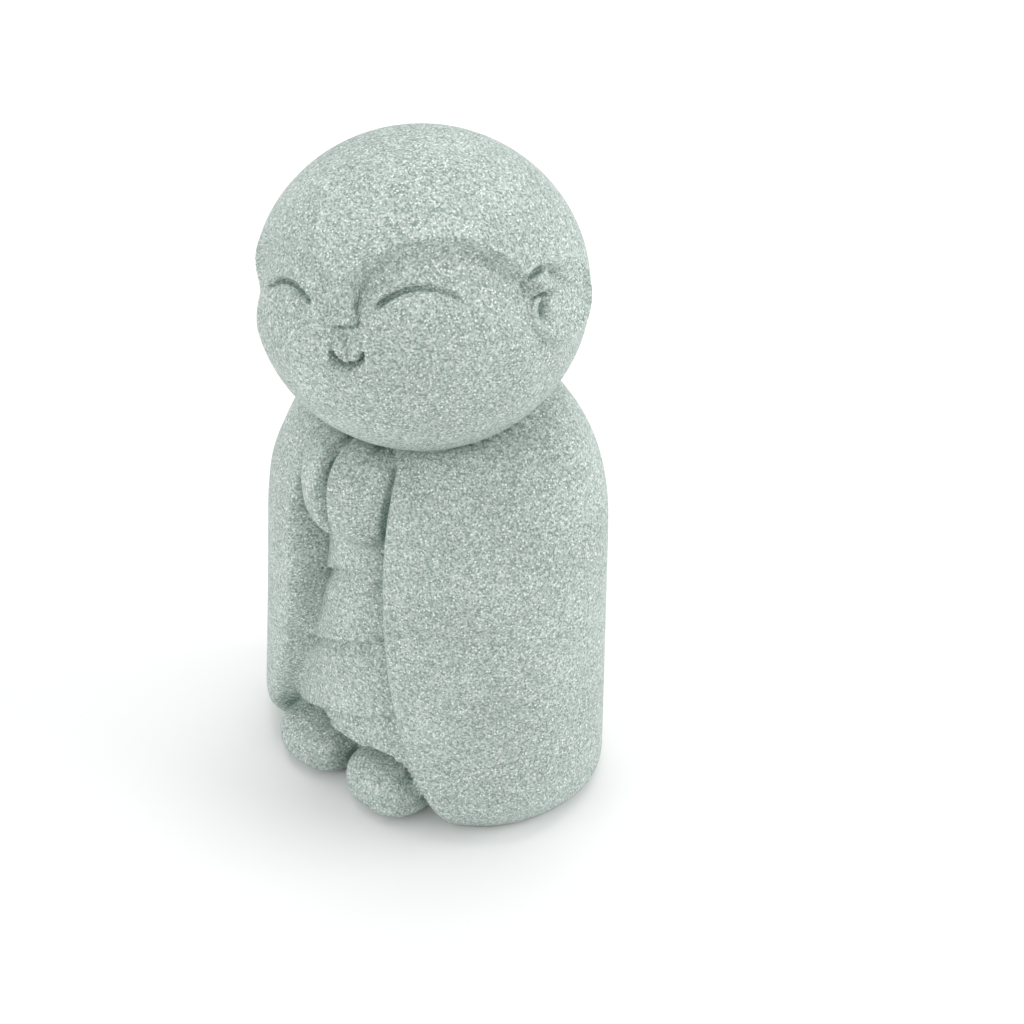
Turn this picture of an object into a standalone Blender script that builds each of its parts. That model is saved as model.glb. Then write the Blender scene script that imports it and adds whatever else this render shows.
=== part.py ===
# Small praying monk statue cast in one piece of pale stone, standing on its own flat underside.
# Front is -Y, up is +Z, the statue's own left hand is on +X. Sizes are in millimetres and turned
# into metres at the end. The whole figure is one closed skin: a sphere of rays is wrapped onto a
# blended form, thinned, and cut flat where it meets the ground.
from math import radians

import bmesh
import bpy
import numpy as np

MM = 0.001

# Overall
HEIGHT = 60.0

# Head: an egg a little wider than deep, turned to its own left, leaning to its right, face lifted
HEAD_WIDTH = 27.3
HEAD_DEPTH = 26.8
HEAD_HEIGHT = 26.1
HEAD_OFFSET = (0.3, -0.85)
HEAD_TURN = 20.4
HEAD_LEAN = -10.0
HEAD_TIP = -12.0

# Cloak: upright barrel with round shoulders, sleeves flaring toward the front of the base
CLOAK_WIDTH = 32.6
CLOAK_DEPTH = 25.0
CLOAK_SQUARENESS = 2.15
SHOULDER_RISE = 0.263 * HEIGHT
SHOULDER_TOP = 0.68 * HEIGHT
SHOULDER_SQUARENESS = 2.6
FRONT_SHOULDER_DROP = 3.5
FRONT_TUCK = 0.8
SLEEVE_FLARE = 2.0
FLARE_TOP = 0.5 * HEIGHT
FLARE_POWER = 1.2
BOTTOM_ROUNDING = 2.65
BOTTOM_ROUNDING_CENTRE = 2.05
BOTTOM_ROUNDING_SHARE = 0.88
SLEEVE_TOE_LIFT = 1.9
SLEEVE_TOE_HEIGHT = 4.2

# Where the cloak counts as its front, and where its collar keeps half its height: sine of the
# direction seen from above, from none to all
FRONT_SPAN = (0.3, -0.45)
COLLAR_SPAN = (-0.2, -0.95)
COLLAR_KEEP = 0.5

# Opening between the sleeves: its walls stand at these angles to the front, seen from above
OPENING_ANGLE = 26.0
OPENING_SPREAD = 25.0
OPENING_SPREAD_POWER = 2.3
OPENING_COLLAR_SPREAD = 7.0
OPENING_WAIST = 0.405 * HEIGHT
OPENING_FLOOR = 6.9
SLEEVE_EDGE_ROUNDING = 0.7

# Robe below the hands: an upright oval column, wider toward the ground. Each tier line is its
# height in the middle, its slope and its bend: the lines rise toward the statue's left
ROBE_CENTRE = 5.0
ROBE_WAIST_HALF = 5.2
ROBE_SKIRT_SPREAD = 9.3
ROBE_SKIRT_POWER = 1.45
ROBE_SKIRT_TOP = 0.4 * HEIGHT
ROBE_SKIRT_END = 0.84
ROBE_BULGE = 5.0
ROBE_BULGE_GROWTH = 1.1
ROBE_TOP = 0.6 * HEIGHT
TIER_LINES = ((23.45, 0.36, -0.06), (16.2, 0.45, -0.01), (8.35, 0.42, 0.0))
TIER_HALF_LENGTH = 7.0
TIER_HALF_STEP = 0.14
TIER_RIM = 0.22
TIER_RIM_REACH = 2.2
TIER_CUT = 0.6
TIER_CUT_REACH = 0.9
HEM_HEIGHT = 5.6
HEM_ARCH = 0.5
HEM_ARCH_MIDDLE = 3.8
HEM_ARCH_HALF_WIDTH = 1.6
HEM_SIDES = (5.5, 10.5)
HEM_EDGE = (-0.15, 0.35)
HEM_RECESS = 2.0

# Chest: rounds out the robe behind the hands, up to the chin
CHEST_CENTRE = (0.0, -4.8, 0.55 * HEIGHT)
CHEST_HALF = (6.9, 4.4, 6.6)

# Feet: two squarish toes peeping out under the hem, both a little to the statue's right
FOOT_CENTRE = (4.4, -8.6, 2.3)
FOOT_SHIFT = 0.6
FOOT_HALF = (4.1, 4.2, 2.6)
FOOT_SQUARENESS = 2.7

# Hands: palms together, one squarish egg with a groove down the middle
HANDS_CENTRE = (0.0, -7.0, 31.6)
HANDS_HALF = (5.0, 5.6, 5.6)
HANDS_SQUARENESS = 2.4
HANDS_GROOVE_DEPTH = 1.3
HANDS_GROOVE_HALF_WIDTH = 0.45

# Face relief, laid out in degrees across (from the nose) and up (from the middle of the head)
DEGREE_UP = 0.225
DEGREE_ACROSS = 0.236
BROW_PEAK = (32.5, 31.2)
BROW_BEND = 0.0039
BROW_POWER = 2.4
BROW_STEP = 1.05
BROW_EDGE = 3.6
BROW_FADE = (9.0, 36.0)
TEMPLE_FADE = (64.0, 80.0)
NOSE_CENTRE = -0.5
NOSE_HEIGHT = 1.3
NOSE_HALF_WIDTH = 4.0
NOSE_BRIDGE_START = 7.0
NOSE_BRIDGE_SPREAD = 0.023
NOSE_WINGS = 0.9
NOSE_WING_PLACE = (4.0, 2.2)
NOSE_SPAN = (0.9, 3.6, 10.0, 28.0)
EYE_PEAK = (26.7, 14.8)
EYE_BEND = 0.0262
EYE_SPAN = (11.0, 15.0, 39.5, 43.5)
EYE_DEPTH = 0.6
EYE_HALF_WIDTH = 0.36
MOUTH_CENTRE = 0.9
MOUTH_LOW = -12.0
MOUTH_RISE = 5.8
MOUTH_POWER = 2.4
MOUTH_HALF_SPAN = 6.0
MOUTH_CORNER = 1.25
MOUTH_TOP = (1.0, 1.35)
MOUTH_DEPTH = 1.0
MOUTH_HALF_WIDTH = 0.36

# Ears, in the same degrees: an oval pad with a rim round it, a hollow and an arched groove.
# The right one sits further back
EAR_CENTRE = (82.5, 0.8)
EAR_HALF = (3.7, 3.45)
EAR_SET_BACK = 10.0
EAR_PAD = 0.3
EAR_PAD_FRONT = (70.0, 84.0)
EAR_PAD_EDGE = (0.85, 1.08)
EAR_RIM = 0.35
EAR_RIM_RING = (0.9, 0.12)
EAR_RIM_FRONT = (65.0, 72.0)
EAR_BOWL_CENTRE = (80.0, -0.5)
EAR_BOWL_HALF = (2.0, 2.3)
EAR_BOWL_DEPTH = 0.4
EAR_GROOVE_PEAK = (72.5, 13.6)
EAR_GROOVE_BEND = (0.06, 0.047)
EAR_GROOVE_SPAN = (65.0, 67.0, 80.0, 90.0)
EAR_GROOVE_DEPTH = 0.75
EAR_GROOVE_HALF_WIDTH = 0.35

# Guard against dividing by nothing, and room left over the barrel's top
TINY = 1e-7
BARREL_CAP = 1.0

# Widths over which two neighbouring forms flow into each other
NECK_BLEND = 0.25
CLOTH_BLEND = 0.5
ROBE_BLEND = 0.3
FOOT_BLEND = 0.2
HANDS_BLEND = 0.15

# Skin: rays leave an upright line inside the figure, level up to the neck, then fan over the head
RAY_COLUMNS = 320
RAY_ROWS = 300
RAY_GATHERING = 0.55
RAY_NECK_ROW = 0.5
RAY_NECK = 0.64 * HEIGHT
RAY_SHIFT_SPAN = (0.45 * HEIGHT, 0.72 * HEIGHT)
RAY_LIFT_END = 0.55
RAY_BACKSET = 6.0
RAY_START = 26.0
RAY_STEPS = 70
RAY_PACE = 0.6
BELOW_GROUND = 0.8
SKIN_TRIANGLES = 9600
SHARP_ANGLE = 40.0

STONE_COLOUR = (0.45, 0.52, 0.49, 1.0)
STONE_ROUGHNESS = 0.85


def ramp(value, low, high):
    t = np.clip((value - low) / (high - low), 0.0, 1.0)
    return t * t * (3.0 - 2.0 * t)


def blend(a, b, width):
    h = np.clip(0.5 + 0.5 * (b - a) / width, 0.0, 1.0)
    return b + (a - b) * h - width * h * (1.0 - h)


def carve(a, b, width):
    return -blend(-a, -b, width)


def dome(distance, half_width):
    return np.exp(-((distance / half_width) ** 2))


# Distance to an egg with the given half sizes, good close to its surface
def egg(x, y, z, half):
    near = np.sqrt((x / half[0]) ** 2 + (y / half[1]) ** 2 + (z / half[2]) ** 2)
    steep = np.sqrt((x / half[0] ** 2) ** 2 + (y / half[1] ** 2) ** 2 + (z / half[2] ** 2) ** 2)
    return near * (near - 1.0) / (steep + TINY)


# Distance to a squarer egg, whose length is the power sum of its three parts
def square_egg(x, y, z, half, power):
    parts = [np.abs(v) / h for v, h in zip((x, y, z), half)]
    near = sum(q ** power for q in parts) ** (1.0 / power) + TINY
    steep = np.sqrt(sum(((q / near) ** (power - 1.0) / h) ** 2 for q, h in zip(parts, half)))
    return (near - 1.0) / (steep + TINY)


# Columns of this matrix are the head's own left, back and up
def head_axes():
    ct, st = np.cos(radians(HEAD_TURN)), np.sin(radians(HEAD_TURN))
    cl, sl = np.cos(radians(HEAD_LEAN)), np.sin(radians(HEAD_LEAN))
    cp, sp = np.cos(radians(HEAD_TIP)), np.sin(radians(HEAD_TIP))
    turn = np.array([[ct, -st, 0.0], [st, ct, 0.0], [0.0, 0.0, 1.0]])
    lean = np.array([[cl, 0.0, sl], [0.0, 1.0, 0.0], [-sl, 0.0, cl]])
    tip = np.array([[1.0, 0.0, 0.0], [0.0, cp, -sp], [0.0, sp, cp]])
    return turn @ lean @ tip


AXES = head_axes()
HEAD_HALF = (HEAD_WIDTH / 2.0, HEAD_DEPTH / 2.0, HEAD_HEIGHT / 2.0)
HEAD_REACH = np.sqrt(sum((AXES[2, i] * HEAD_HALF[i]) ** 2 for i in range(3)))
HEAD_CENTRE = np.array([HEAD_OFFSET[0], HEAD_OFFSET[1], HEIGHT - HEAD_REACH])


def brow_relief(side, up):
    arch = BROW_PEAK[1] - BROW_BEND * np.abs(side - BROW_PEAK[0]) ** BROW_POWER
    below = arch - up
    socket = ramp(below, 0.0, BROW_EDGE) * (1.0 - ramp(below, *BROW_FADE))
    return -BROW_STEP * socket * (1.0 - ramp(side, *TEMPLE_FADE))


def nose_relief(across, up):
    tip, root, low_bridge, high_bridge = NOSE_SPAN
    bridge = np.clip(up - NOSE_BRIDGE_START, 0.0, high_bridge - NOSE_BRIDGE_START)
    width = NOSE_HALF_WIDTH + NOSE_BRIDGE_SPREAD * bridge ** 2
    width = width + NOSE_WINGS * dome(up - NOSE_WING_PLACE[0], NOSE_WING_PLACE[1])
    run = ramp(up, tip, root) * (1.0 - ramp(up, low_bridge, high_bridge))
    return NOSE_HEIGHT * np.exp(-(((across - NOSE_CENTRE) / width) ** 6)) * run


def eye_relief(side, up):
    lid = EYE_PEAK[1] - EYE_BEND * (side - EYE_PEAK[0]) ** 2
    slope = 2.0 * EYE_BEND * (side - EYE_PEAK[0])
    away = (up - lid) * DEGREE_UP / np.sqrt(1.0 + slope ** 2)
    run = ramp(side, EYE_SPAN[0], EYE_SPAN[1]) * (1.0 - ramp(side, EYE_SPAN[2], EYE_SPAN[3]))
    return -EYE_DEPTH * dome(away, EYE_HALF_WIDTH) * run


def mouth_relief(across, up):
    t = np.abs(across - MOUTH_CENTRE) / MOUTH_HALF_SPAN
    line = MOUTH_LOW + MOUTH_RISE * t ** MOUTH_POWER
    slope = MOUTH_POWER * MOUTH_RISE * t ** (MOUTH_POWER - 1.0) / MOUTH_HALF_SPAN
    away = (up - line) * DEGREE_UP / np.sqrt(1.0 + slope ** 2)
    lift = (up - MOUTH_LOW) / MOUTH_RISE
    run = (1.0 - ramp(t, 1.0, MOUTH_CORNER)) * (1.0 - ramp(lift, *MOUTH_TOP))
    return -MOUTH_DEPTH * dome(away, MOUTH_HALF_WIDTH) * run


def ear_relief(side, up):
    level = DEGREE_ACROSS * np.cos(np.radians(up))
    ring_across = (side - EAR_CENTRE[0]) * level / EAR_HALF[0]
    ring_up = (up - EAR_CENTRE[1]) * DEGREE_UP / EAR_HALF[1]
    ring = np.hypot(ring_across, ring_up)
    relief = EAR_PAD * (1.0 - ramp(ring, *EAR_PAD_EDGE)) * ramp(side, *EAR_PAD_FRONT)
    relief += EAR_RIM * dome(ring - EAR_RIM_RING[0], EAR_RIM_RING[1]) * ramp(side, *EAR_RIM_FRONT)

    bowl_across = (side - EAR_BOWL_CENTRE[0]) * level / EAR_BOWL_HALF[0]
    bowl_up = (up - EAR_BOWL_CENTRE[1]) * DEGREE_UP / EAR_BOWL_HALF[1]
    relief -= EAR_BOWL_DEPTH * np.exp(-(bowl_across ** 2 + bowl_up ** 2))

    past = side - EAR_GROOVE_PEAK[0]
    bend = np.where(past < 0.0, EAR_GROOVE_BEND[0], EAR_GROOVE_BEND[1])
    arch = EAR_GROOVE_PEAK[1] - bend * past ** 2
    away = (up - arch) * DEGREE_UP / np.sqrt(1.0 + (2.0 * bend * past) ** 2)
    start, full, thin, end = EAR_GROOVE_SPAN
    run = ramp(side, start, full) * (1.0 - ramp(side, thin, end))
    return relief - EAR_GROOVE_DEPTH * dome(away, EAR_GROOVE_HALF_WIDTH) * run


# Height of the carving over the plain head, in millimetres
def face_relief(across, up):
    side = np.abs(across)
    relief = brow_relief(side, up) + nose_relief(across, up)
    relief += eye_relief(side, up) + mouth_relief(across, up)
    return relief + ear_relief(side - EAR_SET_BACK * (across < 0.0), up)


def head(x, y, z):
    rel = np.stack([x, y, z], axis=-1) - HEAD_CENTRE
    own = rel @ AXES
    u, v, w = (own[..., i] / HEAD_HALF[i] for i in range(3))
    size = np.sqrt(u * u + v * v + w * w) + TINY
    across = np.degrees(np.arctan2(u, -v))
    up = np.degrees(np.arcsin(np.clip(w / size, -1.0, 1.0)))
    return egg(own[..., 0], own[..., 1], own[..., 2], HEAD_HALF) - face_relief(across, up)


# Barrel of the cloak and sleeves, before the front is opened
def cloak(x, y, z):
    r = np.hypot(x, y) + TINY
    power = CLOAK_SQUARENESS
    wide = (np.abs(x) / r / (CLOAK_WIDTH / 2.0)) ** power + (np.abs(y) / r / (CLOAK_DEPTH / 2.0)) ** power
    section = (wide + TINY) ** (-1.0 / power)
    front = ramp(y / r, *FRONT_SPAN)
    collar = 1.0 - COLLAR_KEEP * ramp(y / r, *COLLAR_SPAN)
    spring = SHOULDER_TOP - SHOULDER_RISE - FRONT_SHOULDER_DROP * front * collar
    h = np.clip((z - spring) / SHOULDER_RISE, 0.0, 1.0)
    shoulder = (1.0 - h ** SHOULDER_SQUARENESS) ** (1.0 / SHOULDER_SQUARENESS)
    fall = np.clip(1.0 - z / FLARE_TOP, 0.0, 1.0)
    flare = front * (SLEEVE_FLARE * fall ** FLARE_POWER - FRONT_TUCK)
    flare = flare - front * SLEEVE_TOE_LIFT * ramp(z, SLEEVE_TOE_HEIGHT, 0.0)
    low = np.clip(BOTTOM_ROUNDING_CENTRE - z, 0.0, BOTTOM_ROUNDING_SHARE * BOTTOM_ROUNDING)
    bottom = BOTTOM_ROUNDING - np.sqrt(BOTTOM_ROUNDING ** 2 - low ** 2)
    return np.maximum(r - (section * shoulder + flare - bottom), z - SHOULDER_TOP - BARREL_CAP)


# Angle of the opening's walls: narrow at the waist, spread at the ground
def opening(z):
    below = np.clip((OPENING_WAIST - z) / OPENING_WAIST, 0.0, 1.2)
    above = np.clip((z - OPENING_WAIST) / (SHOULDER_TOP - OPENING_WAIST), 0.0, 1.2)
    spread = OPENING_SPREAD * below ** OPENING_SPREAD_POWER + OPENING_COLLAR_SPREAD * above ** 2
    return np.radians(OPENING_ANGLE + spread)


# Above a tier line the cloth swells, at the line it steps in, and under the hem it stays in
def robe(x, y, z):
    fall = np.clip((ROBE_SKIRT_TOP - z) / ROBE_SKIRT_TOP, 0.0, ROBE_SKIRT_END)
    half = ROBE_WAIST_HALF + ROBE_SKIRT_SPREAD * fall ** ROBE_SKIRT_POWER
    bulge = ROBE_BULGE + ROBE_BULGE_GROWTH * ramp(fall, 0.0, 0.5)
    dy = y + ROBE_CENTRE
    near = np.sqrt((x / half) ** 2 + (dy / bulge) ** 2)
    steep = np.sqrt((x / half ** 2) ** 2 + (dy / bulge ** 2) ** 2) + TINY
    column = near * (near - 1.0) / steep
    along = np.clip(x, -TIER_HALF_LENGTH, TIER_HALF_LENGTH)
    for height, slope, bend in TIER_LINES:
        over = z - (height + slope * along + bend * along ** 2)
        upper = ramp(over, -TIER_HALF_STEP, TIER_HALF_STEP)
        column = column - TIER_RIM * dome(over, TIER_RIM_REACH) * upper
        column = column + TIER_CUT * dome(over, TIER_CUT_REACH) * (1.0 - upper)
    wide = np.abs(x)
    hem = HEM_HEIGHT + HEM_ARCH * dome(wide - HEM_ARCH_MIDDLE, HEM_ARCH_HALF_WIDTH)
    hem = hem * (1.0 - ramp(wide, *HEM_SIDES))
    column = column + HEM_RECESS * ramp(hem - z, *HEM_EDGE)
    column = carve(column, z - ROBE_TOP, CLOTH_BLEND)
    chest = egg(x, y - CHEST_CENTRE[1], z - CHEST_CENTRE[2], CHEST_HALF)
    return blend(column, chest, ROBE_BLEND)


# Cloak and sleeves: the barrel minus a wedge at the front, joined to its back half
def opened_cloak(x, y, z):
    barrel = cloak(x, y, z)
    wall = opening(z)
    sleeves = carve(barrel, -(x * np.cos(wall) + y * np.sin(wall)), SLEEVE_EDGE_ROUNDING)
    back = carve(barrel, -OPENING_FLOOR - y, CLOTH_BLEND)
    return blend(sleeves, back, CLOTH_BLEND)


def body(x, y, z):
    form = blend(opened_cloak(np.abs(x), y, z), robe(x, y, z), ROBE_BLEND)
    foot_x = np.abs(x + FOOT_SHIFT) - FOOT_CENTRE[0]
    foot = square_egg(foot_x, y - FOOT_CENTRE[1], z - FOOT_CENTRE[2], FOOT_HALF, FOOT_SQUARENESS)
    form = blend(form, foot, FOOT_BLEND)
    hands = square_egg(x, y - HANDS_CENTRE[1], z - HANDS_CENTRE[2], HANDS_HALF, HANDS_SQUARENESS)
    hands = hands + HANDS_GROOVE_DEPTH * dome(x, HANDS_GROOVE_HALF_WIDTH)
    return blend(form, hands, HANDS_BLEND)


def figure(x, y, z):
    form = blend(body(x, y, z), head(x, y, z), NECK_BLEND)
    return np.maximum(form, -BELOW_GROUND - z)


# Move the points of a unit sphere out along their rays until they lie on the figure
def wrap(points):
    turn = np.arctan2(points[:, 0], -points[:, 1])
    turn = turn - RAY_GATHERING * np.sin(turn)
    level = np.degrees(np.arcsin(np.clip(points[:, 2], -1.0, 1.0))) / 180.0 + 0.5
    low = np.clip(level / RAY_NECK_ROW, 0.0, 1.0)
    high = np.clip((level - RAY_NECK_ROW) / (1.0 - RAY_NECK_ROW), 0.0, 1.0)
    lift = ramp(high, 0.0, RAY_LIFT_END)
    oz = -BELOW_GROUND + (RAY_NECK + BELOW_GROUND) * low + (HEAD_CENTRE[2] - RAY_NECK) * lift
    shift = ramp(oz, *RAY_SHIFT_SPAN)
    ox = HEAD_CENTRE[0] * shift
    oy = RAY_BACKSET * (1.0 - shift) + HEAD_CENTRE[1] * shift
    climb = radians(90.0) * high
    dx = np.cos(climb) * np.sin(turn)
    dy = -np.cos(climb) * np.cos(turn)
    dz = np.sin(climb)
    reach = np.full(len(points), RAY_START)
    for _ in range(RAY_STEPS):
        gap = figure(ox + reach * dx, oy + reach * dy, oz + reach * dz)
        reach = np.maximum(reach - RAY_PACE * gap, 0.0)
    reach = np.where(level < TINY, 0.0, reach)
    return np.stack([ox + reach * dx, oy + reach * dy, oz + reach * dz], axis=-1)


def stone_material():
    material = bpy.data.materials.new("stone")
    material.use_nodes = True
    shader = material.node_tree.nodes["Principled BSDF"]
    shader.inputs["Base Color"].default_value = STONE_COLOUR
    shader.inputs["Roughness"].default_value = STONE_ROUGHNESS
    shader.inputs["Metallic"].default_value = 0.0
    return material


def build_statue():
    bm = bmesh.new()
    bmesh.ops.create_uvsphere(bm, u_segments=RAY_COLUMNS, v_segments=RAY_ROWS, radius=1.0)
    sphere = np.array([v.co[:] for v in bm.verts])
    for vert, place in zip(bm.verts, wrap(sphere) * MM):
        vert.co = place
    fine = bpy.data.meshes.new("fine_skin")
    bm.to_mesh(fine)
    bm.free()

    statue = bpy.data.objects.new("jizo_statue", fine)
    bpy.context.scene.collection.objects.link(statue)
    thin = statue.modifiers.new("thin", "DECIMATE")
    thin.decimate_type = "COLLAPSE"
    thin.ratio = SKIN_TRIANGLES / (2.0 * RAY_COLUMNS * (RAY_ROWS - 1))
    thin.use_collapse_triangulate = True
    bpy.context.view_layer.update()
    thinned = statue.evaluated_get(bpy.context.evaluated_depsgraph_get())

    bm = bmesh.new()
    bm.from_mesh(thinned.to_mesh())
    statue.modifiers.clear()
    everything = bm.verts[:] + bm.edges[:] + bm.faces[:]
    ground = bmesh.ops.bisect_plane(
        bm, geom=everything, plane_co=(0.0, 0.0, 0.0), plane_no=(0.0, 0.0, 1.0), clear_inner=True
    )
    rim = [e for e in ground["geom_cut"] if isinstance(e, bmesh.types.BMEdge) and e.is_boundary]
    bmesh.ops.edgeloop_fill(bm, edges=rim)
    bmesh.ops.recalc_face_normals(bm, faces=bm.faces[:])
    mesh = bpy.data.meshes.new("jizo_statue")
    bm.to_mesh(mesh)
    bm.free()
    mesh.materials.append(stone_material())
    mesh.shade_smooth()
    mesh.set_sharp_from_angle(angle=radians(SHARP_ANGLE))
    statue.data = mesh
    return statue


for leftover in list(bpy.data.objects):
    bpy.data.objects.remove(leftover, do_unlink=True)

build_statue()
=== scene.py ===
from math import cos, radians, sin

import bpy
import numpy as np
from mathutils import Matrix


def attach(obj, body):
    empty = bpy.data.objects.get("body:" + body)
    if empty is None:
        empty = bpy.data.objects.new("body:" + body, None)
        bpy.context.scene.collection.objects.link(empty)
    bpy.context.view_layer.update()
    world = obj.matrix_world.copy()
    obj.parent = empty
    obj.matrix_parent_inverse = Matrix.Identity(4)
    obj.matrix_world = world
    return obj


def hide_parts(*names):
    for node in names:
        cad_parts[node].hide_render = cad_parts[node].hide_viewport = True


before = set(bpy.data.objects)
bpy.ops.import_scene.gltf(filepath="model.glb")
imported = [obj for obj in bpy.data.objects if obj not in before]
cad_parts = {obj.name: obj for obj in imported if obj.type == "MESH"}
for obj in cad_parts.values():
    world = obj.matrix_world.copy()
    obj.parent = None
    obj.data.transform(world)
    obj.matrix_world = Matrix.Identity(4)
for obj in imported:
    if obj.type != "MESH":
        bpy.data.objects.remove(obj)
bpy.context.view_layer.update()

mm = 0.001


# Smooth step: 0 below low, 1 above high, and 3t^2 - 2t^3 between them
def ramp(value, low, high):
    t = np.clip((value - low) / (high - low), 0.0, 1.0)
    return t * t * (3.0 - 2.0 * t)


# Joins two forms, each given by its distance: b + (a - b)h - width h(1 - h), where h runs from 0 to
# 1 as a falls below b. That is the smaller distance, rounded by width where the forms meet
def join(a, b, width):
    h = np.clip(0.5 + 0.5 * (b - a) / width, 0.0, 1.0)
    return b + (a - b) * h - width * h * (1.0 - h)


# What two forms share: the larger distance, with the edge between them rounded by width
def overlap(a, b, width):
    return -join(-a, -b, width)


# Bell: exp(-(distance / halfWidth)^2)
def bell(distance, halfWidth):
    return np.exp(-((distance / halfWidth) ** 2))


# Groove with one steep and one gentle side: a bell with its own width on either side of the line
def groove(distance, upperWidth, lowerWidth):
    return np.exp(-((distance / np.where(distance > 0.0, upperWidth, lowerWidth)) ** 2))


# Distance to an egg: k(k - 1) / g, where k is the point's length in egg units and g its gradient
def egg(x, y, z, half):
    near = np.sqrt((x / half[0]) ** 2 + (y / half[1]) ** 2 + (z / half[2]) ** 2)
    steep = np.sqrt((x / half[0] ** 2) ** 2 + (y / half[1] ** 2) ** 2 + (z / half[2] ** 2) ** 2)
    return near * (near - 1.0) / (steep + 1e-9)


# Distance to a squarer egg: (k - 1) / g, where k = (|x/a|^p + |y/b|^p + |z/c|^p)^(1/p), g its gradient
def squareEgg(x, y, z, half, power):
    parts = [np.abs(v) / h for v, h in zip((x, y, z), half)]
    near = sum(q ** power for q in parts) ** (1.0 / power) + 1e-9
    steep = np.sqrt(sum(((q / near) ** (power - 1.0) / h) ** 2 for q, h in zip(parts, half)))
    return (near - 1.0) / (steep + 1e-9)


# The head: an egg turned to the figure's left, leaning to its right, with the face lifted
headShape = {
    "top": 60.0,
    "width": 27.3,
    "depth": 26.8,
    "height": 26.1,
    "offset": (0.3, -0.85),
    "turn": 20.4,
    "lean": -10.0,
    "tip": -12.0,
}

# The face: places in degrees across from the nose and up from the middle of the head, and heights,
# depths and sides in millimetres. Pairs for the two sides give the figure's right first
faceShape = {
    "degreeUp": 0.225,  # millimetres of skin to a degree
    "degreeAcross": 0.236,
    "browPeak": (32.5, 31.2),
    "browBend": (0.0032, 0.0039),  # right, left
    "browPower": 2.4,
    "browStep": 1.05,
    "browEdge": 3.6,
    "browFade": (9.0, 36.0),  # below the arch
    "templeFade": (64.0, 80.0),
    "noseCentre": -0.5,
    "noseHeight": 1.3,
    "noseHalfWidth": 4.0,
    "noseBridge": (7.0, 25.0, 0.023),  # height, run, spread
    "noseWings": (4.0, 2.2, 0.9),  # height, half height, spread
    "noseSpan": (0.9, 3.6, 10.0, 28.0),  # tip rises between two heights, bridge fades between two
    "noseEdge": 6.0,
    "noseOutline": 0.3,
    "eyePeak": (26.7, 14.8),
    "eyeBend": 0.0262,
    "eyeSpan": (-17.7, -13.2, 12.8, 16.8),  # outward from the peak
    "rightEyeShift": 3.5,
    "eyeDepth": (0.7, 0.45),  # inner end, outer end of the left one
    "eyeSides": (0.2, 0.42),  # above, below
    "mouthCentre": 0.4,
    "mouthLow": -12.1,
    "mouthRise": 4.5,
    "mouthPower": 2.4,
    "mouthHalfSpan": 6.0,
    "mouthEnd": (0.95, 1.15),  # shares of the half span
    "mouthDepth": (1.2, 0.85),  # right, left
    "mouthSides": (0.17, 0.5),  # above, below
    "mouthMiddle": 3.0,
    "mouthTop": 1.35,  # share of the rise
}

# The ears, in the same degrees: a low pad with a rim, an arched groove, a notch and a channel.
# Halves and depths are in millimetres
earShape = {
    "centre": (82.5, 0.8),
    "half": (3.7, 3.45),
    "padRise": 0.25,
    "padEdge": (0.85, 1.08),
    "padFront": (70.0, 84.0),
    "rimRise": 0.5,
    "rimPlace": (0.9, 0.11),  # share of the oval, half width
    "rimFront": (65.0, 72.0),
    "rightSetBack": 10.0,
    "rightFineness": 0.0,
    "bowlCentre": (80.0, -0.5),
    "bowlHalf": (2.0, 2.3),
    "bowlDepth": 0.55,
    "groovePeak": (72.5, 13.6),
    "grooveBend": (0.06, 0.047),  # in front of the peak, behind it
    "grooveSpan": (65.0, 67.0, 80.0, 90.0),
    "grooveDepth": 0.75,
    "grooveSides": (0.2, 0.5),
    "notch": (73.2, 5.3),
    "notchHalf": (1.0, 0.15, 0.3),  # across, above, below
    "notchBend": 0.25,
    "notchDepth": 1.1,
    "channelLine": (73.0, 0.12, 0.22),  # place, slant, half width
    "channelSpan": (-7.0, -1.0, 4.5, 6.0),
    "channelDepth": 0.65,
    "lobeGroove": (71.5, -12.0),
    "lobeHalf": (1.298, 0.3),
    "lobeDepth": 0.25,
}


# Columns of this matrix are the head's own left, back and up: turn about Z, then Y, then X
def headAxes():
    ct, st = cos(radians(headShape["turn"])), sin(radians(headShape["turn"]))
    cl, sl = cos(radians(headShape["lean"])), sin(radians(headShape["lean"]))
    cp, sp = cos(radians(headShape["tip"])), sin(radians(headShape["tip"]))
    turn = np.array([[ct, -st, 0.0], [st, ct, 0.0], [0.0, 0.0, 1.0]])
    lean = np.array([[cl, 0.0, sl], [0.0, 1.0, 0.0], [-sl, 0.0, cl]])
    tip = np.array([[1.0, 0.0, 0.0], [0.0, cp, -sp], [0.0, sp, cp]])
    return turn @ lean @ tip


axes = headAxes()
headHalf = [headShape[k] / 2.0 for k in ("width", "depth", "height")]
headReach = np.sqrt(sum((axes[2, i] * headHalf[i]) ** 2 for i in range(3)))
headCentre = np.array([*headShape["offset"], headShape["top"] - headReach])


# Brow arch: peak - bend * |side - peak|^power. Below it the face drops by one step and comes back
def browRelief(across, up):
    f = faceShape
    side = np.abs(across)
    bend = np.where(across < 0.0, *f["browBend"])
    arch = f["browPeak"][1] - bend * np.abs(side - f["browPeak"][0]) ** f["browPower"]
    below = arch - up
    socket = ramp(below, 0.0, f["browEdge"]) * (1.0 - ramp(below, *f["browFade"]))
    return -f["browStep"] * socket * (1.0 - ramp(side, *f["templeFade"]))


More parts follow.
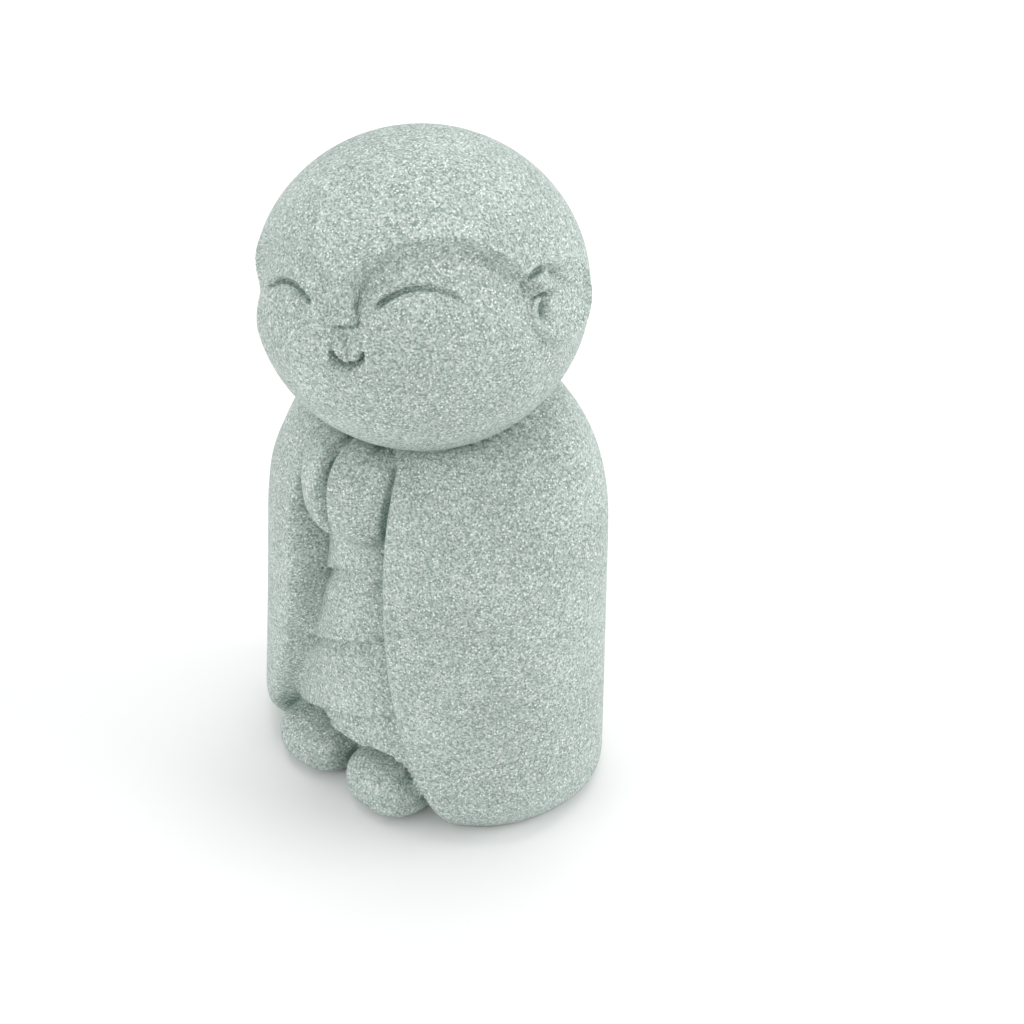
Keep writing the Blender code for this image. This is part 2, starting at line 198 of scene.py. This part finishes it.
# Nose: a flat-topped ridge r = exp(-(side / width)^6), whose width grows with the square of the
# height over the bridge and by a bell at the wings, with a fine cut r(1 - r)^4 round its foot
def noseRelief(across, up):
    f = faceShape
    tip, root, lowBridge, highBridge = f["noseSpan"]
    bridge, bridgeRun, bridgeSpread = f["noseBridge"]
    wing, wingHalf, wingSpread = f["noseWings"]
    width = f["noseHalfWidth"] + bridgeSpread * np.clip(up - bridge, 0.0, bridgeRun) ** 2
    width = width + wingSpread * bell(up - wing, wingHalf)
    side = across - f["noseCentre"]
    ridge = np.exp(-((side / width) ** f["noseEdge"])) * ramp(up, tip, root)
    outline = 12.2 * ridge * (1.0 - ridge) ** 4  # 12.2 makes the deepest place 1
    relief = f["noseHeight"] * ridge - f["noseOutline"] * outline
    return relief * (1.0 - ramp(up, lowBridge, highBridge))


# Closed eye: a groove along lid = peak - bend * side^2, where side is the way outward from the peak.
# It is steep above and gentle below, and gets shallower outward on the figure's left
def eyeRelief(across, up):
    f = faceShape
    side = np.abs(across) - f["rightEyeShift"] * (across < 0.0)
    side = side - f["eyePeak"][0]
    lid = f["eyePeak"][1] - f["eyeBend"] * side ** 2
    slope = 2.0 * f["eyeBend"] * side
    away = (up - lid) * f["degreeUp"] / np.sqrt(1.0 + slope ** 2)
    run = ramp(side, *f["eyeSpan"][:2]) * (1.0 - ramp(side, *f["eyeSpan"][2:]))
    inner, outer = f["eyeDepth"]
    depth = inner + (outer - inner) * ramp(side, *f["eyeSpan"][1:3]) * (across > 0.0)
    return -depth * groove(away, *f["eyeSides"]) * run


# Smile: a groove along low + rise * |t|^power, where t is 1 at its ends, steep on its upper side
def mouthRelief(across, up):
    f = faceShape
    t = np.abs(across - f["mouthCentre"]) / f["mouthHalfSpan"]
    line = f["mouthLow"] + f["mouthRise"] * t ** f["mouthPower"]
    slope = f["mouthPower"] * f["mouthRise"] * t ** (f["mouthPower"] - 1.0) / f["mouthHalfSpan"]
    away = (up - line) * f["degreeUp"] / np.sqrt(1.0 + slope ** 2)
    run = 1.0 - ramp(t, *f["mouthEnd"])
    right, left = f["mouthDepth"]
    depth = right + (left - right) * ramp(across, -f["mouthMiddle"], f["mouthMiddle"])
    top = 1.0 - ramp((up - f["mouthLow"]) / f["mouthRise"], 1.0, f["mouthTop"])
    return -depth * groove(away, *f["mouthSides"]) * run * top


# Ear: an oval pad and its rim, a bell of the ring's distance, minus a bowl exp(-r^2), a groove along
# peak - bend * side^2, a notch, a channel and a lobe groove, each a bell across its line. Notch and
# channel are left out of the plainer right ear, where fine is 0
def earRelief(side, up, fine):
    e, f = earShape, faceShape
    level = f["degreeAcross"] * np.cos(np.radians(up))
    ringAcross = (side - e["centre"][0]) * level / e["half"][0]
    ringUp = (up - e["centre"][1]) * f["degreeUp"] / e["half"][1]
    ring = np.hypot(ringAcross, ringUp)
    relief = e["padRise"] * (1.0 - ramp(ring, *e["padEdge"])) * ramp(side, *e["padFront"])
    rim = bell(ring - e["rimPlace"][0], e["rimPlace"][1]) * ramp(side, *e["rimFront"])
    relief = relief + e["rimRise"] * rim

    bowlAcross = (side - e["bowlCentre"][0]) * level / e["bowlHalf"][0]
    bowlUp = (up - e["bowlCentre"][1]) * f["degreeUp"] / e["bowlHalf"][1]
    relief = relief - e["bowlDepth"] * np.exp(-(bowlAcross ** 2 + bowlUp ** 2))

    past = side - e["groovePeak"][0]
    bend = np.where(past < 0.0, *e["grooveBend"])
    arch = e["groovePeak"][1] - bend * past ** 2
    slope = 2.0 * bend * past
    away = (up - arch) * f["degreeUp"] / np.sqrt(1.0 + slope ** 2)
    run = ramp(side, *e["grooveSpan"][:2]) * (1.0 - ramp(side, *e["grooveSpan"][2:]))
    relief = relief - e["grooveDepth"] * groove(away, *e["grooveSides"]) * run

    notchAcross = (side - e["notch"][0]) * level
    notchUp = (up - e["notch"][1]) * f["degreeUp"] + e["notchBend"] * notchAcross ** 2
    notch = bell(notchAcross, e["notchHalf"][0]) * groove(notchUp, *e["notchHalf"][1:])
    relief = relief - fine * e["notchDepth"] * notch

    middle, slant, halfWidth = e["channelLine"]
    channel = bell((side - middle - slant * up) * level, halfWidth)
    run = ramp(up, *e["channelSpan"][:2]) * (1.0 - ramp(up, *e["channelSpan"][2:]))
    relief = relief - fine * e["channelDepth"] * channel * run

    lobeUp = (up - e["lobeGroove"][1]) * f["degreeUp"]
    lobe = bell((side - e["lobeGroove"][0]) * level, e["lobeHalf"][0]) * bell(lobeUp, e["lobeHalf"][1])
    relief = relief - e["lobeDepth"] * lobe
    return relief


# The whole head: the egg's distance minus the height of the carving at that place on it
def head(x, y, z):
    own = (np.stack([x, y, z], axis=-1) - headCentre) @ axes
    u, v, w = (own[..., i] / headHalf[i] for i in range(3))
    size = np.sqrt(u * u + v * v + w * w) + 1e-9
    across = np.degrees(np.arctan2(u, -v))
    side = np.abs(across)
    up = np.degrees(np.arcsin(np.clip(w / size, -1.0, 1.0)))
    relief = browRelief(across, up) + noseRelief(across, up) + eyeRelief(across, up)
    earSide = side - earShape["rightSetBack"] * (across < 0.0)
    fine = np.where(across < 0.0, earShape["rightFineness"], 1.0)
    relief = relief + mouthRelief(across, up) + earRelief(earSide, up, fine)
    return egg(own[..., 0], own[..., 1], own[..., 2], headHalf) - relief


# The cloak: an upright barrel with round shoulders, sleeves that flare toward the ground, and an
# opening at the front whose upright walls stand at an angle that changes with height
cloakShape = {
    "width": 32.6,
    "depth": 25.0,
    "squareness": 2.15,
    "shoulderTop": 40.8,
    "shoulderRise": 15.78,
    "shoulderSquareness": 2.6,
    "frontSpan": (0.3, -0.45),
    "frontDrop": 3.5,
    "frontTuck": 0.8,
    "collarSpan": (-0.2, -0.95),
    "collarShare": 0.5,
    "flare": 2.0,
    "flareTop": 30.0,
    "flarePower": 1.2,
    "footRounding": 2.65,
    "footRoundingStart": 2.05,
    "footRoundingShare": 0.88,
    "sleeveLift": 1.9,
    "sleeveLiftTop": 4.2,
    "openingAngle": 26.0,
    "openingSpread": 25.0,
    "openingPower": 2.3,
    "collarSpread": 7.0,
    "collarPower": 2.0,
    "spreadLimit": 1.2,
    "waist": 24.3,
    "openingFloor": 6.9,
    "sleeveEdge": 0.7,
    "fold": 0.5,
}


# Barrel: radius = (|cos|/a^p + |sin|/b^p)^(-1/p), times the shoulder (1 - h^q)^(1/q), plus a flare
# that falls off with height and minus a rounding at the ground. The front half has lower shoulders
def barrel(x, y, z):
    c = cloakShape
    r = np.hypot(x, y) + 1e-9
    power = c["squareness"]
    wideShare = (2.0 * np.abs(x) / r / c["width"]) ** power
    deepShare = (2.0 * np.abs(y) / r / c["depth"]) ** power
    section = (wideShare + deepShare + 1e-7) ** (-1.0 / power)
    front = ramp(y / r, *c["frontSpan"])
    collar = 1.0 - c["collarShare"] * ramp(y / r, *c["collarSpan"])
    spring = c["shoulderTop"] - c["shoulderRise"] - c["frontDrop"] * front * collar
    h = np.clip((z - spring) / c["shoulderRise"], 0.0, 1.0)
    shoulder = (1.0 - h ** c["shoulderSquareness"]) ** (1.0 / c["shoulderSquareness"])
    flare = c["flare"] * np.clip(1.0 - z / c["flareTop"], 0.0, 1.0) ** c["flarePower"]
    flare = front * (flare - c["frontTuck"] - c["sleeveLift"] * ramp(z, c["sleeveLiftTop"], 0.0))
    low = np.clip(c["footRoundingStart"] - z, 0.0, c["footRoundingShare"] * c["footRounding"])
    bottom = c["footRounding"] - np.sqrt(c["footRounding"] ** 2 - low ** 2)
    return np.maximum(r - (section * shoulder + flare - bottom), z - c["shoulderTop"] - 1.0)


# Cloak and sleeves: the barrel minus a wedge at the front, whose half angle is least at the waist
# and grows below and above it by powers of the height, joined to the barrel's back half
def cloak(x, y, z):
    c = cloakShape
    below = np.clip((c["waist"] - z) / c["waist"], 0.0, c["spreadLimit"])
    above = np.clip((z - c["waist"]) / (c["shoulderTop"] - c["waist"]), 0.0, c["spreadLimit"])
    spread = c["openingSpread"] * below ** c["openingPower"]
    spread = spread + c["collarSpread"] * above ** c["collarPower"]
    wall = np.radians(c["openingAngle"] + spread)
    whole = barrel(x, y, z)
    sleeves = overlap(whole, -(x * np.cos(wall) + y * np.sin(wall)), c["sleeveEdge"])
    back = overlap(whole, -c["openingFloor"] - y, c["fold"])
    return join(sleeves, back, c["fold"])


# The robe under the hands: an upright oval column that spreads toward the ground, crossed by three
# slanting tier lines, each given as its height at the middle, its slope and its bend
robeShape = {
    "centre": 5.0,
    "waistHalf": 5.2,
    "skirtSpread": 9.3,
    "skirtPower": 1.45,
    "skirtTop": 24.0,
    "skirtEnd": 0.84,
    "bulge": (5.0, 6.1),
    "bulgeSpan": (0.0, 0.5),
    "top": 36.0,
    "tierLines": ((23.45, 0.36, -0.06), (16.2, 0.45, -0.01), (8.35, 0.42, 0.0)),
    "tierReach": 7.0,
    "tierEdge": 0.14,
    "tierRim": 0.22,
    "tierRimReach": 2.2,
    "tierCut": 0.6,
    "tierCutReach": 0.9,
    "hemHeight": 5.6,
    "hemArch": 0.5,
    "hemArchPlace": (3.8, 1.6),
    "hemSides": (5.5, 10.5),
    "hemEdge": (-0.15, 0.35),
    "hemRecess": 2.0,
    "chestCentre": (-4.8, 33.0),
    "chestHalf": (6.9, 4.4, 6.6),
    "fold": 0.3,
}


# Column: an oval whose half width is waist + spread * fall^power. Above a tier line the cloth swells
# as a bell, at the line it steps in, and below it comes back as a narrower bell. Under the hem it
# steps in for good, and above it is joined to the chest, an egg
def robe(x, y, z):
    c = robeShape
    fall = np.clip((c["skirtTop"] - z) / c["skirtTop"], 0.0, c["skirtEnd"])
    half = c["waistHalf"] + c["skirtSpread"] * fall ** c["skirtPower"]
    thin, thick = c["bulge"]
    bulge = thin + (thick - thin) * ramp(fall, *c["bulgeSpan"])
    dy = y + c["centre"]
    near = np.sqrt((x / half) ** 2 + (dy / bulge) ** 2)
    steep = np.sqrt((x / half ** 2) ** 2 + (dy / bulge ** 2) ** 2) + 1e-9
    column = near * (near - 1.0) / steep
    along = np.clip(x, -c["tierReach"], c["tierReach"])
    for height, slope, bend in c["tierLines"]:
        over = z - (height + slope * along + bend * along ** 2)
        upper = ramp(over, -c["tierEdge"], c["tierEdge"])
        column = column - c["tierRim"] * bell(over, c["tierRimReach"]) * upper
        column = column + c["tierCut"] * bell(over, c["tierCutReach"]) * (1.0 - upper)
    wide = np.abs(x)
    hem = c["hemHeight"] + c["hemArch"] * bell(wide - c["hemArchPlace"][0], c["hemArchPlace"][1])
    hem = hem * (1.0 - ramp(wide, *c["hemSides"]))
    column = column + c["hemRecess"] * ramp(hem - z, *c["hemEdge"])
    column = overlap(column, z - c["top"], cloakShape["fold"])
    chest = egg(x, y - c["chestCentre"][0], z - c["chestCentre"][1], c["chestHalf"])
    return join(column, chest, c["fold"])


# Two rounded toes under the hem, and the two palms as one egg with a groove between them
footShape = {
    "centre": (4.4, -8.6, 2.3),
    "shift": 0.6,
    "half": (4.1, 4.2, 2.6),
    "power": 2.7,
    "fold": 0.2,
}
handShape = {
    "centre": (-7.0, 31.6),
    "half": (5.0, 5.6, 5.6),
    "power": 2.4,
    "grooveDepth": 1.3,
    "grooveHalfWidth": 0.45,
    "fold": 0.15,
}


# Foot: a squarer egg. Hands: the same kind of egg pressed in by a bell along the middle
def feetAndHands(x, y, z):
    f, h = footShape, handShape
    outward = np.abs(x + f["shift"]) - f["centre"][0]
    foot = squareEgg(outward, y - f["centre"][1], z - f["centre"][2], f["half"], f["power"])
    hands = squareEgg(x, y - h["centre"][0], z - h["centre"][1], h["half"], h["power"])
    return foot, hands + h["grooveDepth"] * bell(x, h["grooveHalfWidth"])


# Where the head sits on the body, a crease is cut into the body beside it
neckCrease = {"depth": 0.75, "reach": 0.75, "fold": 0.2}


# The figure: its dressed body, cut back by a bell of the distance to the head, joined to the head
def figure(x, y, z):
    wide = np.abs(x)
    foot, hands = feetAndHands(x, y, z)
    form = join(cloak(wide, y, z), robe(x, y, z), robeShape["fold"])
    form = join(form, foot, footShape["fold"])
    form = join(form, hands, handShape["fold"])
    skull = head(x, y, z)
    form = form + neckCrease["depth"] * bell(np.maximum(skull, 0.0), neckCrease["reach"])
    return join(form, skull, neckCrease["fold"])


# The skin: columns round the figure, closer together at the front left, and runs of rings up it
skinGrid = {
    "columns": 400,
    "ringRuns": ((0.0, 1.0, 98), (1.0, 1.2, 34), (1.2, 1.56, 92), (1.56, 2.0, 23)),  # from, to, rings
    "gathering": 0.52,
    "gatherAt": 35.0,
    "neck": 38.4,
    "headShare": 0.55,
    "backset": 6.0,
    "backsetSpan": (27.0, 43.2),
    "start": 26.0,
    "steps": 90,
    "pace": 0.6,
    "near": 0.0002,
    "sharpAngle": 60.0,
}


# Level of each ring: 0 to 1 up the body, then 1 to 2 from the neck over the crown, in even runs
def ringLevels():
    runs = [np.linspace(*run, endpoint=False) for run in skinGrid["ringRuns"]]
    return np.concatenate(runs)


# Rays: level from an upright line inside the body, then fanning up round the middle of the head.
# Each point walks in along its ray by a part of its distance until it lies on the figure
def skinPoints(turn, level):
    g = skinGrid
    low = np.clip(level, 0.0, 1.0)
    high = np.clip(level - 1.0, 0.0, 1.0)
    oz = g["neck"] * low + (headCentre[2] - g["neck"]) * ramp(high, 0.0, g["headShare"])
    shift = ramp(oz, *g["backsetSpan"])
    ox = headCentre[0] * shift
    oy = g["backset"] * (1.0 - shift) + headCentre[1] * shift
    climb = radians(90.0) * high
    dx, dy, dz = np.cos(climb) * np.sin(turn), -np.cos(climb) * np.cos(turn), np.sin(climb)
    reach = np.full(turn.shape, g["start"])
    moving = np.arange(turn.size)
    for _ in range(g["steps"]):
        at = [o[moving] + reach[moving] * d[moving] for o, d in ((ox, dx), (oy, dy), (oz, dz))]
        gap = figure(*at)
        reach[moving] = np.maximum(reach[moving] - g["pace"] * gap, 0.0)
        moving = moving[np.abs(gap) > g["near"]]
        if moving.size == 0:
            break
    return np.stack([ox + reach * dx, oy + reach * dy, oz + reach * dz], axis=-1)


# Painted shade in creases and recesses, and pale edges that are partly rubbed wear and partly painted
# highlight: the attribute's name, the height off the skin and the share of painted shade that is lost
# where light reaches the collar, from one height to another
shelterReading = {
    "kinds": (("shelterWide", 4.0, 0.75), ("shelterNarrow", 0.6, 0.0), ("wornAndLitEdge", -0.7, 0.0)),
    "collarLight": (31.0, 35.0),
}


# Shelter of each point: 1 - distance / height, with the distance taken that height off the skin.
# With the height below zero, inside the skin, it is above zero on edges that stand out
def shelter(points, normals, height):
    off = points + normals * height
    return np.clip(1.0 - figure(off[:, 0], off[:, 1], off[:, 2]) / height, 0.0, 1.0)


# The grid's turns are gathered by turn - gathering * sin(turn - place). Its faces are quads between
# rings, a fan at the crown and a fan under the ground ring
def buildSkin():
    g = skinGrid
    levels, columns = ringLevels(), g["columns"]
    rings = levels.size
    turn = np.linspace(-np.pi, np.pi, columns, endpoint=False)
    turn = turn - g["gathering"] * np.sin(turn - radians(g["gatherAt"]))
    points = skinPoints(np.tile(turn, rings), np.repeat(levels, columns))
    crown = skinPoints(np.array([0.0]), np.array([2.0]))
    ground = np.array([[0.0, g["backset"], 0.0]])
    points = np.concatenate([points, crown, ground])

    ring = np.arange(rings - 1)[:, None] * columns
    column = np.arange(columns)[None, :]
    beside = (column + 1) % columns
    corners = [ring + column, ring + beside, ring + columns + beside, ring + columns + column]
    quads = np.stack(corners, axis=-1).reshape(-1, 4)
    column, beside = column[0], beside[0]
    last = (rings - 1) * columns
    top = np.stack([last + column, last + beside, np.full(columns, rings * columns)], axis=-1)
    under = np.stack([beside, column, np.full(columns, rings * columns + 1)], axis=-1)

    mesh = bpy.data.meshes.new("figureSkin")
    mesh.from_pydata((points * mm).tolist(), [], quads.tolist() + top.tolist() + under.tolist())
    mesh.update()
    mesh.shade_smooth()
    mesh.set_sharp_from_angle(angle=radians(g["sharpAngle"]))
    normals = np.zeros(len(mesh.vertices) * 3, np.float32)
    mesh.vertices.foreach_get("normal", normals)
    normals = normals.reshape(-1, 3)
    collar = ramp(points[:, 2], *shelterReading["collarLight"])
    # These attributes carry the painted shade and the painted edge highlight that the stone material
    # reads
    for name, height, lit in shelterReading["kinds"]:
        values = shelter(points, normals, height) * (1.0 - lit * collar)
        layer = mesh.attributes.new(name, "FLOAT", "POINT")
        layer.data.foreach_set("value", values.astype(np.float32))
    return mesh


# The stone: pale grey-green grains with white crystals, a few dark specks, pits and tan flecks
stoneFinish = {
    "pale": (0.60, 0.665, 0.635, 1.0),
    "mid": (0.40, 0.47, 0.44, 1.0),
    "dark": (0.22, 0.28, 0.257, 1.0),
    "rosy": (1.06, 1.0, 1.03, 1.0),
    "mossy": (0.94, 1.0, 0.97, 1.0),
    "crystal": (0.80, 0.85, 0.83, 1.0),
    "speck": (0.07, 0.09, 0.085, 1.0),
    "fleck": (0.5, 0.36, 0.26, 1.0),
    # Painted shade colour, laid over creases and recesses
    "crease": (0.42, 0.53, 0.47, 1.0),
    # Pale edge colour: painted highlight, partly rubbed wear
    "wornEdgeHighlight": (0.72, 0.79, 0.76, 1.0),
    "grainScale": 7800.0,
    "softScale": 3900.0,
    "grainShares": (0.55, 0.6),
    "darkToMid": (0.28, 0.6),
    "midToPale": (0.55, 0.85),
    "crystals": (5600.0, 0.62, 0.34),  # scale, radius in cells, share of cells
    "specks": (900.0, 0.13, 0.07),
    "flecks": (420.0, 0.08, 0.05),
    "spotEdge": (-0.1, 0.25),
    "speckStrength": 0.8,
    "fleckStrength": 0.7,
    "cloudScale": 170.0,
    "cloudRange": (0.3, 0.7, 0.93, 1.05),
    # From, to and strength of the painted shade and of the painted edge highlight
    "wideCreaseShade": (0.4, 1.0, 0.45),  # from, to, strength
    "narrowCreaseShade": (0.2, 0.75, 0.8),
    "wornHighlightRange": (0.25, 0.8, 0.3),
    "roughness": (0.2, 0.8, 0.86, 0.62),
    "crystalGloss": -0.2,
    "crystalHeight": 0.35,
    "pitHeight": -0.9,
    "bump": 0.45,
    "bumpDepth": 0.00009,
}


# Adds a node with its settings, and links or sets its inputs, by name or as in0, in1 and so on
def addNode(tree, kind, settings=None, **inputs):
    node = tree.nodes.new(kind)
    for name, value in (settings or {}).items():
        setattr(node, name, value)
    for name, value in inputs.items():
        socket = node.inputs[int(name[2:])] if name.startswith("in") else node.inputs[name]
        if isinstance(value, bpy.types.NodeSocket):
            tree.links.new(value, socket)
        else:
            socket.default_value = value
    return node


# Mixes two colours or sockets by a factor
def mixColour(tree, factor, first, second, how="MIX"):
    settings = {"data_type": "RGBA", "blend_type": how}
    return addNode(tree, "ShaderNodeMix", settings, in0=factor, in6=first, in7=second).outputs[2]


# A number from one, two or three others
def sums(tree, how, first, second=0.0, third=0.0):
    settings = {"operation": how}
    return addNode(tree, "ShaderNodeMath", settings, in0=first, in1=second, in2=third).outputs[0]


# A number moved from the range low to high into the range start to end, smoothly
def reRange(tree, value, low, high, start=0.0, end=1.0):
    settings = {"interpolation_type": "SMOOTHSTEP"}
    limits = {"in1": low, "in2": high, "in3": start, "in4": end}
    return addNode(tree, "ShaderNodeMapRange", settings, in0=value, **limits).outputs[0]


# One of the numbers kept at the mesh's points, moved into the range 0 to strength
def masked(tree, name, low, high, strength):
    kept = addNode(tree, "ShaderNodeAttribute", {"attribute_name": name}).outputs["Fac"]
    return sums(tree, "MULTIPLY", reRange(tree, kept, low, high), strength)


# Cells of a size, each with a colour of its own
def cellPattern(tree, place, scale):
    cells = addNode(tree, "ShaderNodeTexVoronoi", {"feature": "F1"}, Vector=place, Scale=scale)
    parts = addNode(tree, "ShaderNodeSeparateColor", None, Color=cells.outputs["Color"])
    return cells.outputs["Distance"], parts.outputs


# Scattered spots: cells of a size, of which a share holds a spot of up to a radius
def spots(tree, place, scale, radius, share):
    distance, parts = cellPattern(tree, place, scale)
    size = sums(tree, "MULTIPLY", parts[1], radius)
    edge = [radius * part for part in stoneFinish["spotEdge"]]
    near = reRange(tree, sums(tree, "SUBTRACT", size, distance), *edge)
    chosen = sums(tree, "LESS_THAN", parts[0], share)
    return sums(tree, "MULTIPLY", near, chosen)


# Grains shade the stone from dark to pale, clouds shade it softly, spots lie in it, then painted shade
# in creases and recesses and pale edges, partly painted highlight and partly rubbed wear, lie over it.
# Grains and crystals stand up a little and specks are pits
def stoneMaterial():
    s = stoneFinish
    material = bpy.data.materials.new("speckledStone")
    material.use_nodes = True
    tree = material.node_tree
    shader = tree.nodes["Principled BSDF"]
    place = addNode(tree, "ShaderNodeTexCoord").outputs["Object"]

    tone = cellPattern(tree, place, s["grainScale"])[1]
    soft = addNode(tree, "ShaderNodeTexNoise", None, Vector=place, Scale=s["softScale"], Detail=3.0)
    softPart = sums(tree, "MULTIPLY", soft.outputs[0], s["grainShares"][1])
    blended = sums(tree, "MULTIPLY_ADD", tone[0], s["grainShares"][0], softPart)
    colour = mixColour(tree, reRange(tree, blended, *s["darkToMid"]), s["dark"], s["mid"])
    colour = mixColour(tree, reRange(tree, blended, *s["midToPale"]), colour, s["pale"])
    hue = mixColour(tree, tone[1], s["rosy"], s["mossy"])
    colour = mixColour(tree, 1.0, colour, hue, "MULTIPLY")

    cloud = addNode(tree, "ShaderNodeTexNoise", None, Vector=place, Scale=s["cloudScale"], Detail=4.0)
    shade = reRange(tree, cloud.outputs[0], *s["cloudRange"])
    cloudy = addNode(tree, "ShaderNodeCombineColor", None, in0=shade, in1=shade, in2=shade).outputs[0]
    colour = mixColour(tree, 1.0, colour, cloudy, "MULTIPLY")

    crystals = spots(tree, place, *s["crystals"])
    specks = spots(tree, place, *s["specks"])
    flecks = spots(tree, place, *s["flecks"])
    colour = mixColour(tree, crystals, colour, s["crystal"])
    colour = mixColour(tree, sums(tree, "MULTIPLY", flecks, s["fleckStrength"]), colour, s["fleck"])
    colour = mixColour(tree, sums(tree, "MULTIPLY", specks, s["speckStrength"]), colour, s["speck"])

    # Painted shade: darker and greener in creases and recesses
    wide = masked(tree, "shelterWide", *s["wideCreaseShade"])
    narrow = masked(tree, "shelterNarrow", *s["narrowCreaseShade"])
    creased = mixColour(tree, 1.0, colour, s["crease"], "MULTIPLY")
    colour = mixColour(tree, sums(tree, "ADD", wide, narrow), colour, creased)
    # Painted highlight, partly rubbed wear: paler on edges that stand out
    colour = mixColour(tree, masked(tree, "wornAndLitEdge", *s["wornHighlightRange"]), colour, s["wornEdgeHighlight"])
    tree.links.new(colour, shader.inputs["Base Color"])

    matt = reRange(tree, blended, *s["roughness"])
    rough = sums(tree, "MULTIPLY_ADD", crystals, s["crystalGloss"], matt)
    tree.links.new(rough, shader.inputs["Roughness"])

    height = sums(tree, "MULTIPLY_ADD", crystals, s["crystalHeight"], blended)
    pitted = sums(tree, "MULTIPLY_ADD", specks, s["pitHeight"], height)
    depths = {"Strength": s["bump"], "Distance": s["bumpDepth"]}
    bump = addNode(tree, "ShaderNodeBump", None, Height=pitted, **depths)
    tree.links.new(bump.outputs[0], shader.inputs["Normal"])
    shader.inputs["Metallic"].default_value = 0.0
    shader.inputs["Specular IOR Level"].default_value = 0.5
    return material


# A plain pale floor, white all round, and round lights, each with its place, width in metres and
# power in watts
stageSet = {
    "floorSize": 3.0,
    "floorColour": (0.92, 0.92, 0.92, 1.0),
    "floorRoughness": 0.9,
    "worldStrength": 0.64,
    "lights": (
        ("frontLow", (-0.16, -0.45, 0.15), 0.4, 0.75),
        ("rightSide", (0.38, 0.32, 0.26), 0.4, 1.35),
        ("aboveBack", (-0.1, 0.12, 0.58), 0.5, 1.6),
    ),
    "cameraPlace": (0.11794, -0.11261, 0.13844),
    "cameraTurn": (55.0, 0.0, 43.9),
    "cameraLens": 81.04,
}


# Floor, white surroundings, lights that face the figure's foot, and the camera
def buildStage():
    s = stageSet
    half = s["floorSize"] / 2.0
    mesh = bpy.data.meshes.new("paleFloor")
    corners = [(-half, -half, 0.0), (half, -half, 0.0), (half, half, 0.0), (-half, half, 0.0)]
    mesh.from_pydata(corners, [], [(0, 1, 2, 3)])
    floor = bpy.data.objects.new("paleFloor", mesh)
    bpy.context.scene.collection.objects.link(floor)
    paint = bpy.data.materials.new("paleFloorPaint")
    paint.use_nodes = True
    paintShader = paint.node_tree.nodes["Principled BSDF"]
    paintShader.inputs["Base Color"].default_value = s["floorColour"]
    paintShader.inputs["Roughness"].default_value = s["floorRoughness"]
    mesh.materials.append(paint)

    world = bpy.data.worlds.new("whiteRoom")
    world.use_nodes = True
    background = world.node_tree.nodes["Background"]
    background.inputs["Color"].default_value = (1.0, 1.0, 1.0, 1.0)
    background.inputs["Strength"].default_value = s["worldStrength"]
    bpy.context.scene.world = world

    for name, place, size, power in s["lights"]:
        lamp = bpy.data.lights.new(name, "AREA")
        lamp.shape = "DISK"
        lamp.size = size
        lamp.energy = power
        holder = bpy.data.objects.new(name, lamp)
        bpy.context.scene.collection.objects.link(holder)
        holder.location = place
        toFigure = -holder.location.normalized()
        holder.rotation_euler = toFigure.to_track_quat("-Z", "Y").to_euler()

    lens = bpy.data.cameras.new("viewpoint")
    lens.lens = s["cameraLens"]
    lens.sensor_width = 36.0
    lens.clip_start = 0.01
    camera = bpy.data.objects.new("viewpoint", lens)
    bpy.context.scene.collection.objects.link(camera)
    camera.location = s["cameraPlace"]
    camera.rotation_euler = [radians(a) for a in s["cameraTurn"]]
    bpy.context.scene.camera = camera
    bpy.context.scene.view_settings.view_transform = "Standard"


print("carving the figure")
figureMesh = buildSkin()
figureMesh.materials.append(stoneMaterial())
figurePiece = bpy.data.objects.new("carvedFigure", figureMesh)
bpy.context.scene.collection.objects.link(figurePiece)
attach(figurePiece, "root")
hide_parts("jizo_statue")
print("figure carved:", len(figureMesh.vertices), "points")

buildStage()
print("floor, lights and camera set")
